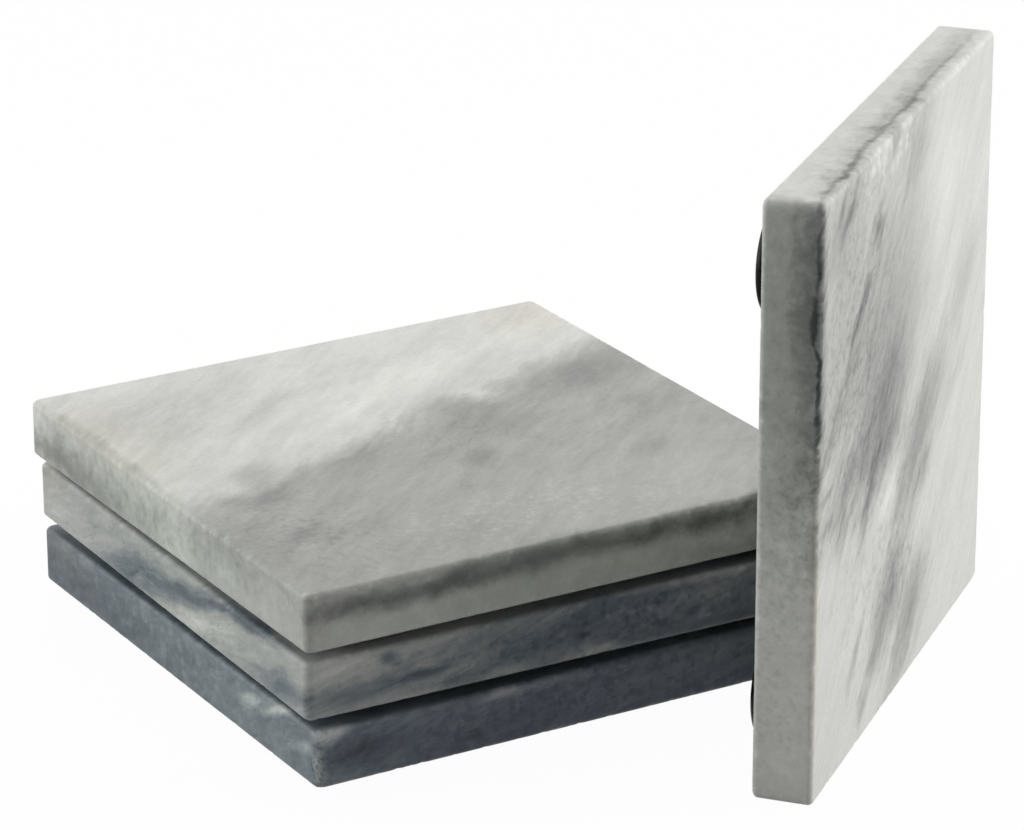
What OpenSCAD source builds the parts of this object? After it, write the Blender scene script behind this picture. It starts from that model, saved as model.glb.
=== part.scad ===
// Set of four square marble drink coasters: three lie in a stack and one stands on its edge beside it.
// Each coaster is a stone slab on four domed rubber feet, and a film of adhesive holds each foot.
// Millimetres. +Z is up, the table top is at Z = 0, and the set's footprint is centred on the origin.

/* [Stone slab] */
// Length of each side of a square slab
slab_side = 100; // [85:1:125]
// Thickness of a slab
slab_thick = 10; // [7:0.5:14]
// Radius of the eased arris round both broad faces
arris_r = 0.9; // [0.4:0.1:1.4]
// Radius of the four upright corners of a slab that lies flat
corner_r = 1.5; // [1.5:0.1:5]

/* [Rubber foot] */
// Diameter of a foot
foot_d = 18; // [14:0.5:20]
// Height of the rubber, from the film to its tip
foot_h = 2.3; // [1.8:0.1:4]
// Height of the straight rim where a foot meets its film
foot_rim_h = 0.3; // [0.1:0.1:0.5]
// Radius of the shoulder between the rim and the crown
foot_shoulder_r = 1.2; // [0.6:0.1:1.2]
// Diameter of the flat tip that a foot rests on
foot_tip_d = 7; // [4:0.5:9]
// Distance from a slab's side to the place for the middle of a foot
foot_inset = 12.5; // [12.5:0.5:20]
// Furthest that a foot is stuck on beside its place
foot_offset = 2.5; // [0:0.1:2.5]

/* [Adhesive film] */
// Thickness of the film between a foot and the stone
film_thick = 0.2; // [0.1:0.05:0.5]
// Distance from the foot's edge in to the film's edge
film_setback = 0.5; // [0:0.1:2]

/* [Stack] */
// How far the middle coaster lies to the left of the bottom one
middle_left = 1.4; // [0:0.1:4]
// How far the middle coaster lies in front of the bottom one
middle_front = 1.6; // [0:0.1:4]
// Degrees that the middle coaster is turned
middle_turn = -0.75; // [-3:0.05:3]
// How far the top coaster lies to the left of the bottom one
top_left = 3; // [0:0.1:4]
// How far the top coaster lies in front of the bottom one
top_front = 3; // [0:0.1:4]
// Degrees that the top coaster is turned
top_turn = 0; // [-3:0.05:3]

/* [Standing coaster] */
// Degrees from the stack's front to the line that the standing coaster stands along
standing_turn = 39.4; // [30:0.1:60]
// How far the standing coaster is slid along that line, to the back and right
standing_slide = 5; // [-15:0.5:15]
// Gap between the stack's nearest corner and the underside of the standing coaster
standing_gap = 0.3; // [0.3:0.05:2]

/* [Hidden] */
$fn = 64;

RUBBER = [0.07, 0.07, 0.07];
ADHESIVE = [0.75, 0.76, 0.72];
DARK_STONE = [0.30, 0.33, 0.37];
VEINED_STONE = [0.52, 0.55, 0.56];
GREY_STONE = [0.70, 0.71, 0.69];
PALE_STONE = [0.82, 0.83, 0.81];

// A coaster is drawn lying face up, with its slab's underside at Z = 0 and its feet below.
// The four corners are in one order everywhere. The standing coaster rests on its front side.
CORNER_SIGNS = [[-1, -1], [1, -1], [-1, 1], [1, 1]];
LYING_CORNERS = ["front_left", "front_right", "back_left", "back_right"];
STANDING_CORNERS = ["lower_near", "lower_far", "upper_near", "upper_far"];

// How far each foot is stuck on beside its place. Shares of foot_offset.
bottom_offset_shares = [[0.3, -0.2], [-0.4, 0.3], [0.1, 0.5], [0.2, -0.3]];
middle_offset_shares = [[-0.2, 0.3], [0.4, 0.1], [-0.3, -0.4], [0.1, 0.2]];
top_offset_shares = [[0.2, 0.4], [-0.1, -0.3], [0.5, 0], [-0.2, 0.3]];
standing_offset_shares = [[-0.04, 0.96], [0.3, 0.2], [-0.56, -0.24], [-0.1, -0.4]];

// The direction along a line that is turned from +X, and the one square to it, on its right.
function along(turn) = [cos(turn), sin(turn)];
function beside(turn) = [sin(turn), -cos(turn)];

// How far a turned rectangle with rounded corners reaches from its middle in one direction.
function reach(size, r, turn, direction) =
    (size.x / 2 - r) * abs(direction * along(turn))
    + (size.y / 2 - r) * abs(direction * beside(turn))
    + r;

function lying_reach(place, turn, direction) =
    place * direction + reach([slab_side, slab_side], corner_r, turn, direction);

// Where the middles of the middle and top slabs lie, seen from above. The bottom one is at [0, 0].
middle_place = [-middle_left, -middle_front];
top_place = [-top_left, -top_front];

function stack_reach(direction) = max(
    lying_reach([0, 0], 0, direction),
    lying_reach(middle_place, middle_turn, direction),
    lying_reach(top_place, top_turn, direction)
);

// The standing coaster's underside faces the stack, clear of the corner that comes nearest to it.
face_direction = beside(standing_turn);
standing_place = (stack_reach(face_direction) + standing_gap) * face_direction
    + standing_slide * along(standing_turn);

function set_reach(direction) = max(
    stack_reach(direction),
    (standing_place + slab_thick / 2 * face_direction) * direction
        + reach([slab_side, slab_thick], arris_r, standing_turn, direction)
);

// The middle of the whole footprint, which the origin marks.
footprint_middle = [
    set_reach([1, 0]) - set_reach([-1, 0]),
    set_reach([0, 1]) - set_reach([0, -1])
] / 2;

foot_stand = film_thick + foot_h;
coaster_pitch = slab_thick + foot_stand;

// Each coaster: its name, the place of the middle of its slab's underside, its turn, whether it
// stands on its side, its stone, its corners' names and its feet's offsets.
COASTERS = [
    [
        "bottom", [0, 0, foot_stand], 0, false,
        DARK_STONE, LYING_CORNERS, bottom_offset_shares
    ],
    [
        "middle", [middle_place.x, middle_place.y, foot_stand + coaster_pitch], middle_turn, false,
        VEINED_STONE, LYING_CORNERS, middle_offset_shares
    ],
    [
        "top", [top_place.x, top_place.y, foot_stand + 2 * coaster_pitch], top_turn, false,
        GREY_STONE, LYING_CORNERS, top_offset_shares
    ],
    [
        "standing", [standing_place.x, standing_place.y, slab_side / 2], standing_turn, true,
        PALE_STONE, STANDING_CORNERS, standing_offset_shares
    ]
];

module rounded_rectangle(size, r) {
    square([size.x, size.y - 2 * r], center = true);
    square([size.x - 2 * r, size.y], center = true);
    for (x = [-1, 1], y = [-1, 1])
        translate([x * (size.x / 2 - r), y * (size.y / 2 - r)])
            circle(r);
}

// Two crossed bars with eased arrises, and a quarter turn of the same section in each corner.
module slab(stone) {
    straight = slab_side - 2 * corner_r;
    color(stone)
        translate([0, 0, slab_thick / 2]) {
            for (turn = [0, 90])
                rotate([90, 0, turn])
                    linear_extrude(straight, center = true)
                        rounded_rectangle([slab_side, slab_thick], arris_r);
            for (turn = [0 : 90 : 270])
                rotate(turn)
                    translate([straight / 2, straight / 2])
                        rotate_extrude(angle = 90)
                            intersection() {
                                rounded_rectangle([2 * corner_r, slab_thick], arris_r);
                                translate([0, -slab_thick / 2])
                                    square([corner_r, slab_thick]);
                            }
        }
}

// Half of a foot's section, with its base at Y = 0 and its tip at Y = foot_h.
// The crown is an arc about a point on the axis, crown_depth below the top of the rim. It passes
// through the edge of the flat tip and runs smoothly into the shoulder, where both arcs have one
// tangent. Those two conditions make a quadratic for crown_depth.
module foot_section() {
    foot_r = foot_d / 2;
    tip_r = foot_tip_d / 2;
    shoulder_x = foot_r - foot_shoulder_r;
    rise = foot_h - foot_rim_h;
    a = pow(rise, 2) - pow(foot_shoulder_r, 2);
    b = pow(tip_r, 2) - pow(shoulder_x, 2) + a;
    c = pow(b, 2) - pow(2 * foot_shoulder_r * shoulder_x, 2);
    crown_depth = (sqrt(pow(b * rise, 2) - a * c) - b * rise) / (2 * a);
    crown_r = norm([tip_r, rise + crown_depth]);
    intersection() {
        square([foot_r, foot_h]);
        union() {
            square([foot_r, foot_rim_h]);
            translate([0, foot_rim_h]) {
                translate([shoulder_x, 0])
                    circle(foot_shoulder_r);
                intersection() {
                    translate([0, -crown_depth])
                        circle(crown_r);
                    polygon([[0, -crown_depth], [2 * shoulder_x, crown_depth], [0, crown_depth]]);
                }
            }
        }
    }
}

module foot() {
    color(RUBBER)
        mirror([0, 0, 1])
            translate([0, 0, film_thick])
                rotate_extrude()
                    foot_section();
}

module film() {
    color(ADHESIVE)
        mirror([0, 0, 1])
            cylinder(h = film_thick, d = foot_d - 2 * film_setback);
}

// Moves a coaster's piece from the place where it is drawn to its place in the set.
module in_set(coaster) {
    tilt = coaster[3] ? 90 : 0;
    translate(coaster[1] - [footprint_middle.x, footprint_middle.y, 0])
        rotate([tilt, 0, coaster[2]])
            children();
}

// Moves a foot or its film under one corner of a coaster, and by that foot's own offset.
module under_corner(coaster, corner) {
    in_set(coaster)
        translate((slab_side / 2 - foot_inset) * CORNER_SIGNS[corner] + foot_offset * coaster[6][corner])
            children();
}

for (coaster = COASTERS) {
    in_set(coaster) slab(coaster[4]);
    for (corner = [0 : 3]) {
        under_corner(coaster, corner) foot();
        under_corner(coaster, corner) film();
    }
}
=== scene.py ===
# %% [markdown]
# # Four marble coasters, built around their CAD frame
#
# Three coasters lie in a stack and one stands on its side. Each is a slab of honed grey marble on
# four rubber feet that are stuck on. The frame gives every piece its place, so this lesson adds
# only what the eye wants: worn arrises, cloudy and streaked stone, and glossy rubber.

# %% Load the frame
import math

import bpy
import numpy as np
from mathutils import Euler, Matrix, Vector


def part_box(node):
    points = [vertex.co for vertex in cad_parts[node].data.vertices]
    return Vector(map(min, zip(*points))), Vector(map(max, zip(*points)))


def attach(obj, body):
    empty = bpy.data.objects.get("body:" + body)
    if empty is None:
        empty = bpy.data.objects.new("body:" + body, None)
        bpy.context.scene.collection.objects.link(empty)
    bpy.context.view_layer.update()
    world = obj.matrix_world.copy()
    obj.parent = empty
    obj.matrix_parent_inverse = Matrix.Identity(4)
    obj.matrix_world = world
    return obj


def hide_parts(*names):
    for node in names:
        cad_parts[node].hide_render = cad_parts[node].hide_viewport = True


MM = 0.001


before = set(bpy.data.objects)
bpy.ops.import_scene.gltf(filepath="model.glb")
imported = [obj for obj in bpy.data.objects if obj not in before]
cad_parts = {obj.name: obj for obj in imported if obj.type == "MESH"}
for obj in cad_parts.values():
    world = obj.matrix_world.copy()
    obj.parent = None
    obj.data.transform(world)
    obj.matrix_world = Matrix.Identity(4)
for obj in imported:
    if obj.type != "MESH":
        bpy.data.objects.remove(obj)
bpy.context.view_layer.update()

# %% [markdown]
# ## Where each coaster lies
#
# A slab is easiest to describe where it was cut: lying face up, with the middle of its underside at
# zero and its sides along X and Y. One matrix then carries it to its place in the set. The frame's
# boxes give the middles. A tilt about X and then a turn about Z, in degrees, give the rest.

# %% Slab sizes and places
SIDE, THICK, ARRIS, CORNER = 100.0, 10.0, 0.9, 1.5
FOOT_D, FOOT_H, FILM_D, FILM_THICK = 18.0, 2.3, 17.0, 0.2
TURNS = {"bottom": (0, 0), "middle": (0, -0.75), "top": (0, 0), "standing": (90, 39.4)}
LYING_CORNERS = ("front_left", "front_right", "back_left", "back_right")
STANDING_CORNERS = ("lower_near", "lower_far", "upper_near", "upper_far")


def box_middle(node):
    """The middle of a CAD node's box: half of the sum of its two corners."""
    low, high = (np.array(corner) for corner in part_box(node))
    return (low + high) / 2


def slab_place(name):
    """From millimetres in the slab's own frame to metres in the set: scale, drop by half the
    thickness, turn, then move to the middle of the CAD slab."""
    tilt, turn = (math.radians(angle) for angle in TURNS[name])
    middle = Matrix.Translation(Vector(box_middle(f"{name}_slab")))
    turned = Euler((tilt, 0, turn)).to_matrix().to_4x4()
    return middle @ turned @ Matrix.Scale(MM, 4) @ Matrix.Translation((0, 0, -THICK / 2))


PLACES = {name: slab_place(name) for name in TURNS}
for name, place in PLACES.items():
    print(name, "underside's middle, mm:", [round(c / MM, 2) for c in place.translation])


def placed(points, matrix):
    """Every point, as a row of an array, through one 4x4 matrix."""
    m = np.array(matrix)
    return points @ m[:3, :3].T + m[:3, 3]


# %% [markdown]
# ## Meshes from grids
#
# Every shape here is a grid: rows of rings, one ring for each step of a profile. The faces between
# two rings are four-sided, and a single point closes each end. Whole arrays go into the mesh at
# once, which is quick even for a hundred thousand points.

# %% Rings to a mesh


def ring_faces(rows, columns):
    """Quads between neighbouring rings of a closed tube, and the two fans that close its ends.
    The two end points follow the rings in the list of points."""
    row, column = np.mgrid[0:rows - 1, 0:columns]
    across = (column + 1) % columns
    quads = np.stack([
        row * columns + column,
        (row + 1) * columns + column,
        (row + 1) * columns + across,
        row * columns + across,
    ], axis=-1).reshape(-1, 4)
    step = np.arange(columns)
    after = (step + 1) % columns
    first, last = rows * columns, rows * columns + 1
    base = (rows - 1) * columns
    top_fan = np.stack([np.full(columns, first), step, after], axis=-1)
    bottom_fan = np.stack([np.full(columns, last), base + after, base + step], axis=-1)
    return quads, np.concatenate([top_fan, bottom_fan])


def mesh_object(name, points, quads, triangles):
    """A smooth-shaded mesh object from arrays of points, four-sided and three-sided faces."""
    corners = np.concatenate([quads.ravel(), triangles.ravel()]).astype(np.int32)
    sizes = np.concatenate([np.full(len(quads), 4), np.full(len(triangles), 3)]).astype(np.int32)
    mesh = bpy.data.meshes.new(name)
    mesh.vertices.add(len(points))
    mesh.vertices.foreach_set("co", points.astype(np.float32).ravel())
    mesh.loops.add(len(corners))
    mesh.loops.foreach_set("vertex_index", corners)
    mesh.polygons.add(len(sizes))
    mesh.polygons.foreach_set("loop_start", (np.cumsum(sizes) - sizes).astype(np.int32))
    mesh.polygons.foreach_set("use_smooth", np.ones(len(sizes), dtype=bool))
    mesh.update(calc_edges=True)
    mesh.validate()
    piece = bpy.data.objects.new(name, mesh)
    bpy.context.scene.collection.objects.link(piece)
    return piece


# %% [markdown]
# ## A marble slab with worn arrises
#
# A slab is sawn from a sheet of stone, its faces are honed, and its edges are eased with a rubbing
# block. Soft stone loses crumbs there, so no arris is quite straight. A cube with a bevel would
# look like plastic. Here a profile runs from the middle of the drinking face, over the arris, down
# the side and back under, and it is carried round the slab's square outline. Small dents then push
# the surface in, never out, so that the slab keeps its size.

# %% The outline and the profile
OUTLINE_STEP = 0.4
CORNER_STEPS = 10
FACE_SHARES = (0.03, 0.2, 0.4, 0.6, 0.75, 0.86, 0.93, 0.965, 0.982, 0.992)
ARRIS_STEPS = 8
SIDE_STEPS = 22


def outline():
    """Centres of curvature and outward directions round a square with rounded corners. Along a
    side the centre moves and the direction stays. Round a corner the direction turns by 90 degrees
    about one centre."""
    inner = SIDE / 2 - CORNER
    count = int(2 * inner / OUTLINE_STEP)
    run = np.linspace(-inner, inner, count)
    bend = np.linspace(0, np.pi / 2, CORNER_STEPS + 2)[1:-1]
    side = np.stack([np.full(count, inner), run], axis=-1)
    corner = np.full((CORNER_STEPS, 2), inner)
    centres = np.concatenate([side, corner])
    turned = np.concatenate([np.zeros(count), bend])
    all_centres, all_angles = [], []
    for quarter in range(4):
        angle = quarter * np.pi / 2
        c, s = np.cos(angle), np.sin(angle)
        all_centres.append(centres @ np.array([[c, s], [-s, c]]))
        all_angles.append(turned + angle)
    angles = np.concatenate(all_angles)
    return np.concatenate(all_centres), np.stack([np.cos(angles), np.sin(angles)], axis=-1)


def slab_rings():
    """Points and outward directions, as (ring, outline step, xyz). A face's rings are its edge
    shrunk towards the middle. An arris is a quarter circle of the arris radius."""
    centres, directions = outline()
    bend = np.linspace(0, np.pi / 2, ARRIS_STEPS + 1)
    height = np.linspace(THICK - ARRIS, ARRIS, SIDE_STEPS + 1)[1:-1]
    inset = np.concatenate([ARRIS * (1 - np.sin(bend)), np.zeros(len(height)),
                            ARRIS * (1 - np.sin(bend[::-1]))])
    level = np.concatenate([THICK - ARRIS * (1 - np.cos(bend)), height,
                            ARRIS * (1 - np.cos(bend[::-1]))])
    upward = np.concatenate([np.cos(bend), np.zeros(len(height)), -np.cos(bend[::-1])])
    outward = np.concatenate([np.sin(bend), np.ones(len(height)), np.sin(bend[::-1])])
    flat = centres + (CORNER - inset)[:, None, None] * directions
    points = np.concatenate([flat, np.broadcast_to(level[:, None, None], (*flat.shape[:2], 1))], axis=-1)
    ways = np.concatenate([outward[:, None, None] * directions,
                           np.broadcast_to(upward[:, None, None], (*flat.shape[:2], 1))], axis=-1)
    shares = np.array(FACE_SHARES)[:, None, None]
    top = np.concatenate([shares * points[0, :, :2], np.full((len(FACE_SHARES), len(centres), 1), THICK)],
                         axis=-1)
    under = top[::-1] * (1, 1, 0)
    up = np.zeros_like(top) + (0, 0, 1)
    return np.concatenate([top, points, under]), np.concatenate([up, ways, -up])


RINGS, WAYS = slab_rings()
print("slab grid:", RINGS.shape[0], "rings of", RINGS.shape[1], "points")

# %% [markdown]
# Wear is a depth at every point. Three kinds add up: a slow wave along each arris from hand
# easing, crumbs lost from the arrises, and pits in the sawn sides. Each crumb and pit is a smooth
# bowl, its depth falling off with the square of the distance as a bell curve does. A point belongs
# to an arris or to a side by its slope, the share of its outward direction that is upright.

# %% Wear
FIRST_SEED = 11
CRUMBS = 260
CRUMB_SIZES = (0.2, 0.6)
CRUMB_DEPTHS = (0.02, 0.12)
PITS = 260
PIT_SIZES = (0.2, 0.5)
PIT_DEPTHS = (0.01, 0.06)
BOWL_REACH = 3
EASING = 0.06
WAVES = 5
WAVE_LENGTHS = (7, 34)
WAVE_SHARE = 0.05
ARRIS_SLOPES = (0.3, 0.95)
SIDE_SLOPE = 0.01


def bowls(points, middles, sizes, depths):
    """The deepest bowl at each point: depth times exp(-(distance / size) squared)."""
    depth = np.zeros(len(points))
    for middle, size, deep in zip(middles, sizes, depths):
        near = np.flatnonzero(np.abs(points - middle).max(axis=1) < BOWL_REACH * size)
        square = ((points[near] - middle) ** 2).sum(axis=1)
        depth[near] = np.maximum(depth[near], deep * np.exp(-square / size ** 2))
    return depth


def easing(points, ways, rng):
    """A slow wave along the arrises: a sum of sines of random length and phase, times
    4 slope squared (1 - slope squared), which is 1 at 45 degrees and 0 on the flats."""
    at_arris = 4 * ways[:, 2] ** 2 * (1 - ways[:, 2] ** 2)
    wave = np.zeros(len(points))
    for length in rng.uniform(*WAVE_LENGTHS, WAVES):
        phase = rng.uniform(0, 2 * np.pi, 3)
        turn = 2 * np.pi / length
        wave += np.sin(points[:, 0] * turn + phase[0]) + np.sin(points[:, 1] * turn + phase[1])
    return EASING * at_arris * (0.5 + WAVE_SHARE * wave).clip(0, 1)


def worn_slab(seed):
    """The slab's points, each moved in along its own direction by its wear, and how fresh the stone
    is at each: 1 in the deepest crumb, where pale crystals were bared."""
    rng = np.random.default_rng(seed)
    points, ways = RINGS.reshape(-1, 3), WAYS.reshape(-1, 3)
    slope = np.abs(ways[:, 2])
    arris = np.flatnonzero((slope > ARRIS_SLOPES[0]) & (slope < ARRIS_SLOPES[1]))
    side = np.flatnonzero(slope < SIDE_SLOPE)
    crumbs = bowls(points, points[rng.choice(arris, CRUMBS)],
                   rng.uniform(*CRUMB_SIZES, CRUMBS), rng.uniform(*CRUMB_DEPTHS, CRUMBS))
    pits = bowls(points, points[rng.choice(side, PITS)],
                 rng.uniform(*PIT_SIZES, PITS), rng.uniform(*PIT_DEPTHS, PITS))
    depth = easing(points, ways, rng) + crumbs + pits
    return points - ways * depth[:, None], (crumbs + pits) / CRUMB_DEPTHS[1]


def marble_slab(name, seed):
    """A worn slab in its place, standing for its CAD solid."""
    ends = np.array([[0, 0, THICK], [0, 0, 0]])
    worn, fresh = worn_slab(seed)
    points = placed(np.concatenate([worn, ends]), PLACES[name])
    slab = mesh_object(f"{name}_marble_slab", points, *ring_faces(*RINGS.shape[:2]))
    bared = slab.data.attributes.new("fresh", "FLOAT", "POINT")
    bared.data.foreach_set("value", np.append(fresh, [0, 0]).astype(np.float32))
    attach(slab, f"{name}_coaster")
    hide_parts(f"{name}_slab")
    return slab


slabs = {name: marble_slab(name, seed) for seed, name in enumerate(TURNS, start=FIRST_SEED)}
print("triangles in a slab:", sum(len(p.vertices) - 2 for p in slabs["top"].data.polygons))

# %% [markdown]
# ## Rubber feet and their adhesive
#
# A stick-on foot is a moulded dome of soft rubber: a short rim, a round shoulder and a low crown
# with a flat tip. Underneath is a clear film of adhesive, a little smaller than the foot. Both are
# turned shapes, so a profile is carried round the foot's axis.

# %% The foot's profile
FOOT_STEPS = 96
CROWN_STEPS = 22
SHOULDER_STEPS = 12
SHOULDER, RIM_H, TIP_D = 1.2, 0.3, 7.0
TIP_RINGS = (1.2, 2.4, 3.2)
LIP = ((0, 0.08), (0.04, 0.02), (0.25, 0))
BASE_RINGS = (FOOT_D / 3, 1)


def crown_depth():
    """How far below the rim the crown's centre lies, where its arc meets both the flat tip's edge
    and, smoothly, the shoulder. It is the positive root of a quadratic."""
    shoulder_x, rise, tip = FOOT_D / 2 - SHOULDER, FOOT_H - RIM_H, TIP_D / 2
    a = rise ** 2 - SHOULDER ** 2
    b = tip ** 2 - shoulder_x ** 2 + a
    c = b ** 2 - (2 * SHOULDER * shoulder_x) ** 2
    return (math.sqrt((b * rise) ** 2 - a * c) - b * rise) / (2 * a)


def foot_profile():
    """(radius, height) from the flat tip to the base: crown arc, shoulder arc, straight rim, and a
    base with a small lip that the mould leaves. A lip's point is how far in from the rim it lies
    and how high. An arc's points are its radius times the sine and the cosine of each angle."""
    depth = crown_depth()
    crown_r = math.hypot(TIP_D / 2, FOOT_H - RIM_H + depth)
    shoulder_x = FOOT_D / 2 - SHOULDER
    tip_turn = math.asin(TIP_D / 2 / crown_r)
    meet_turn = math.atan2(shoulder_x, depth)
    crown = np.linspace(tip_turn, meet_turn, CROWN_STEPS)
    shoulder = np.linspace(meet_turn, math.pi / 2, SHOULDER_STEPS)[1:]
    lip_in, lip_up = np.array(LIP).T
    radius = np.concatenate([
        TIP_RINGS,
        crown_r * np.sin(crown),
        shoulder_x + SHOULDER * np.sin(shoulder),
        FOOT_D / 2 - lip_in,
        BASE_RINGS,
    ])
    height = np.concatenate([
        np.full(len(TIP_RINGS), FOOT_H),
        RIM_H - depth + crown_r * np.cos(crown),
        RIM_H + SHOULDER * np.cos(shoulder),
        lip_up,
        np.zeros(len(BASE_RINGS)),
    ])
    return radius, height


def turned(radius, height):
    """The profile carried round the Z axis, as (ring, step, xyz)."""
    angle = np.linspace(0, 2 * np.pi, FOOT_STEPS, endpoint=False)
    x = radius[:, None] * np.cos(angle)
    y = radius[:, None] * np.sin(angle)
    return np.stack([x, y, np.broadcast_to(height[:, None], x.shape)], axis=-1)


def turned_piece(name, node, body, radius, height, below):
    """A turned shape hung under the slab, tip down, at the middle of the CAD solid that it stands
    for. below is how far its base lies under the slab."""
    coaster = body.removesuffix("_coaster")
    place = PLACES[coaster]
    spot = place.inverted() @ Vector(box_middle(node))
    rings = turned(radius, height)
    points = np.concatenate([rings.reshape(-1, 3), [[0, 0, height[0]], [0, 0, height[-1]]]])
    points = points * (1, -1, -1) + (spot.x, spot.y, -below)
    piece = mesh_object(name, placed(points, place), *ring_faces(*rings.shape[:2]))
    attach(piece, body)
    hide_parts(node)
    return piece


# %% The film's profile, and every foot with its film
FILM_RINGS = (2.0, 6.0)
FILM_EDGE_IN, FILM_EDGE_DOWN = 0.06, 0.05


def film_profile():
    """(radius, height) out along the film's upper face, over its eased edge, and back in under it,
    where each height is what the upper one leaves of the thickness."""
    out = [*FILM_RINGS, FILM_D / 2 - FILM_EDGE_IN, FILM_D / 2]
    upper = [FILM_THICK, FILM_THICK, FILM_THICK, FILM_THICK - FILM_EDGE_DOWN]
    lower = [FILM_THICK - height for height in reversed(upper)]
    return np.array(out + out[::-1]), np.array(upper + lower)


feet, films = [], []
for name in TURNS:
    for corner in STANDING_CORNERS if name == "standing" else LYING_CORNERS:
        feet.append(turned_piece(f"{name}_rubber_foot_{corner}", f"{name}_foot_{corner}",
                                 f"{name}_coaster", *foot_profile(), FILM_THICK))
        films.append(turned_piece(f"{name}_adhesive_film_{corner}", f"{name}_film_{corner}",
                                  f"{name}_coaster", *film_profile(), 0))
print(len(feet), "feet and", len(films), "films")

# %% [markdown]
# ## Nodes without clutter
#
# A material is a small network. One function adds a node, sets its properties and inputs, and
# links it, and a second turns a hex colour into the linear numbers that a shader works in.

# %% Node helpers


def linear(hex_colour):
    """sRGB hex to linear: up to 0.04045 divide by 12.92, and above it add 0.055, divide by 1.055
    and raise to the power 2.4."""
    value = np.array([int(hex_colour[i:i + 2], 16) / 255 for i in (1, 3, 5)])
    value = np.where(value <= 0.04045, value / 12.92, ((value + 0.055) / 1.055) ** 2.4)
    return (*value, 1.0)


def add(tree, kind, inputs=None, **settings):
    """Adds a node. A socket among the inputs is linked and any other value is set."""
    node = tree.nodes.new(kind)
    for key, value in settings.items():
        setattr(node, key, value)
    for key, value in (inputs or {}).items():
        if isinstance(value, bpy.types.NodeSocket):
            tree.links.new(value, node.inputs[key])
        else:
            node.inputs[key].default_value = value
    return node


def new_material(name):
    """An empty node material with its Principled shader: (material, tree, shader)."""
    material = bpy.data.materials.new(name)
    material.use_nodes = True
    tree = material.node_tree
    tree.nodes.clear()
    shader = add(tree, "ShaderNodeBsdfPrincipled")
    add(tree, "ShaderNodeOutputMaterial", {"Surface": shader.outputs[0]})
    return material, tree, shader


print("a middle grey, #808080, is", round(float(linear("#808080")[0]), 3), "in linear light")

# %% [markdown]
# ## Honed marble
#
# Marble is limestone that was baked and squeezed until it flowed. Fine graphite and clay, smeared
# through white calcite, give grey clouds and streaks that all lean one way. They run through the
# stone, so a cloud on the face goes on down the side. The pattern here is therefore solid: it is
# worked out from the place in the slab, in millimetres, and the surface only cuts it open. Soft
# ellipsoids set the large clouds, a stretched noise draws the streaks, and a fine noise is the
# crystals. Two noises push all of it about, so no shape keeps a drawn edge. Each of the two has a
# grain and a reach in millimetres.

# %% Places in the stone
SLOW_PUSH = (22.0, 2.0)
FINE_PUSH = (4.5, 0.9)
FINE_SEED, TEAR_SEED, THREAD_SEED = 7, 3, 11
TORN_SHARE = 0.42
UNTURNED = (0, 0, 0)
SPECK_ENDS = (0.45, 0.75)
CRYSTAL_SIZES = (0.8, 0.8, 0.8)
CRYSTALS = 0.05
FRESH = 0.1
RUST = "#EFE0CC"
# Painted light: a green tint for the greenish cast that reflected light gives the coasters' sides.
GREEN_LIGHT_CAST = "#EDF8EE"
SLATE = "#EFEBFA"


def slab_position(tree, name):
    """The place in the slab's own frame, in millimetres, from the piece's object coordinates."""
    place = PLACES[name]
    coordinates = add(tree, "ShaderNodeTexCoord").outputs["Object"]
    return add(tree, "ShaderNodeMapping", {
        "Vector": coordinates,
        "Location": place.translation,
        "Rotation": place.to_euler(),
        "Scale": (MM, MM, MM),
    }, vector_type="TEXTURE").outputs[0]


def pushed(tree, position, grain, amount, seed):
    """The position moved about by a noise, by up to the amount each way along each axis: the
    noise's three channels, less a half, times twice the amount."""
    noise = add(tree, "ShaderNodeTexNoise", {
        "Vector": add(tree, "ShaderNodeVectorMath", {0: position, 1: (seed, seed, seed)}).outputs[0],
        "Scale": 1 / grain,
        "Detail": 3.0,
        "Roughness": 0.55,
    })
    centred = add(tree, "ShaderNodeVectorMath", {0: noise.outputs["Color"], 1: (0.5, 0.5, 0.5)},
                  operation="SUBTRACT").outputs[0]
    return add(tree, "ShaderNodeVectorMath",
               {0: centred, 1: (2 * amount, 2 * amount, 2 * amount), 2: position},
               operation="MULTIPLY_ADD").outputs[0]


def drawn_noise(tree, position, sizes, lean, seed, detail=4.0, roughness=0.6):
    """A noise with a grain of three sizes in millimetres, along axes that lean by three angles:
    0 to 1, with 0.5 in the middle. Unequal sizes draw it out into lines or flat beds."""
    drawn = add(tree, "ShaderNodeMapping", {
        "Vector": position,
        "Location": (seed, seed, seed),
        "Rotation": [math.radians(angle) for angle in lean],
        "Scale": sizes,
    }, vector_type="TEXTURE").outputs[0]
    return add(tree, "ShaderNodeTexNoise",
               {"Vector": drawn, "Scale": 1.0, "Detail": detail, "Roughness": roughness}).outputs["Fac"]


def cloud(tree, position, torn, tear, middle, radii, lean, soft):
    """1 inside an ellipsoid and 0 outside it. The torn noise draws its edge out along the grain, by
    up to tear millimetres and never by more than a share of the shortest radius. soft is the
    share of the radius that the change takes."""
    unit = add(tree, "ShaderNodeMapping", {
        "Vector": position,
        "Location": middle,
        "Rotation": [math.radians(angle) for angle in lean],
        "Scale": radii,
    }, vector_type="TEXTURE").outputs[0]
    distance = add(tree, "ShaderNodeVectorMath", {0: unit}, operation="LENGTH").outputs["Value"]
    distance = add(tree, "ShaderNodeMath", {
        0: torn,
        1: min(TORN_SHARE, tear / min(radii)),
        2: distance,
    }, operation="MULTIPLY_ADD").outputs[0]
    return add(tree, "ShaderNodeMapRange", {
        "Value": distance,
        "From Min": 1.0 - soft,
        "From Max": 1.0,
        "To Min": 1.0,
        "To Max": 0.0,
    }, interpolation_type="SMOOTHSTEP").outputs["Result"]


# %% [markdown]
# The stone is drawn in tones first, and only then in colour, because one kind of marble goes from
# dark to pale along the same few greys. Each layer adds to the tone of the layers below it.

# %% What changes the tone


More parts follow.
